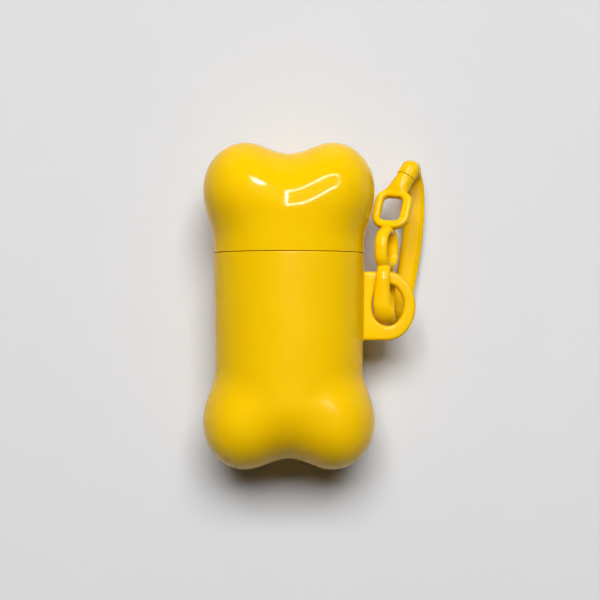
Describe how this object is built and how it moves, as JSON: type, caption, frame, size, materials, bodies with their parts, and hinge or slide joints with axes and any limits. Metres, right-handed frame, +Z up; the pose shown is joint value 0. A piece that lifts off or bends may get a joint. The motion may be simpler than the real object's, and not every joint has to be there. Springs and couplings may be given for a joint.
{
  "type": "dog waste bag dispenser",
  "caption": "Bone-shaped plastic shell with a pull-off cap, a bag slot, a side tab and a swivel clip, holding a roll of dog waste bags on a core.",
  "frame": {"origin": "the middle of the underside of the bounding box, with the dispenser lying on its back", "axes": "+Y along the bone from the closed end to the cap, +X from the bone to the tab and clip, +Z up, out of the bone's front"},
  "size_m": [0.059, 0.0846, 0.0393],
  "materials": {
    "body_shell": "smooth, glossy, moulded warm yellow plastic",
    "cap": "smooth, glossy, moulded warm yellow plastic",
    "swivel_link": "satin, moulded warm yellow plastic",
    "hook": "satin, moulded warm yellow plastic",
    "bag_roll": "thin green film, wound",
    "roll_core": "brown paper tube"
  },
  "bodies": {
    "body": {"body_shell": "body_shell"},
    "cap": {"cap": "cap"},
    "roll": {"bag_roll": "bag_roll", "roll_core": "roll_core"},
    "link": {"swivel_link": "swivel_link"},
    "hook": {"hook": "hook"}
  },
  "joints": [
    {"name": "cap_pull", "type": "slide", "parent": "body", "child": "cap", "axis": [0, 1, 0], "range_m": [0, 0.03]},
    {"name": "roll_spin", "type": "hinge", "parent": "body", "child": "roll", "pos_m": [-0.00724, 0, 0.0188], "axis": [0, 1, 0], "continuous": true},
    {"name": "link_swing", "type": "hinge", "parent": "body", "child": "link", "pos_m": [0.01782, 0.00658, 0.01965], "axis": [1, 0, 0], "range_deg": [-55, 120]},
    {"name": "hook_swivel", "type": "hinge", "parent": "link", "child": "hook", "pos_m": [0.02347, 0.0339, 0.01533], "axis": [0.5078, 0.8312, -0.2263], "range_deg": [-120, 10]}
  ]
}
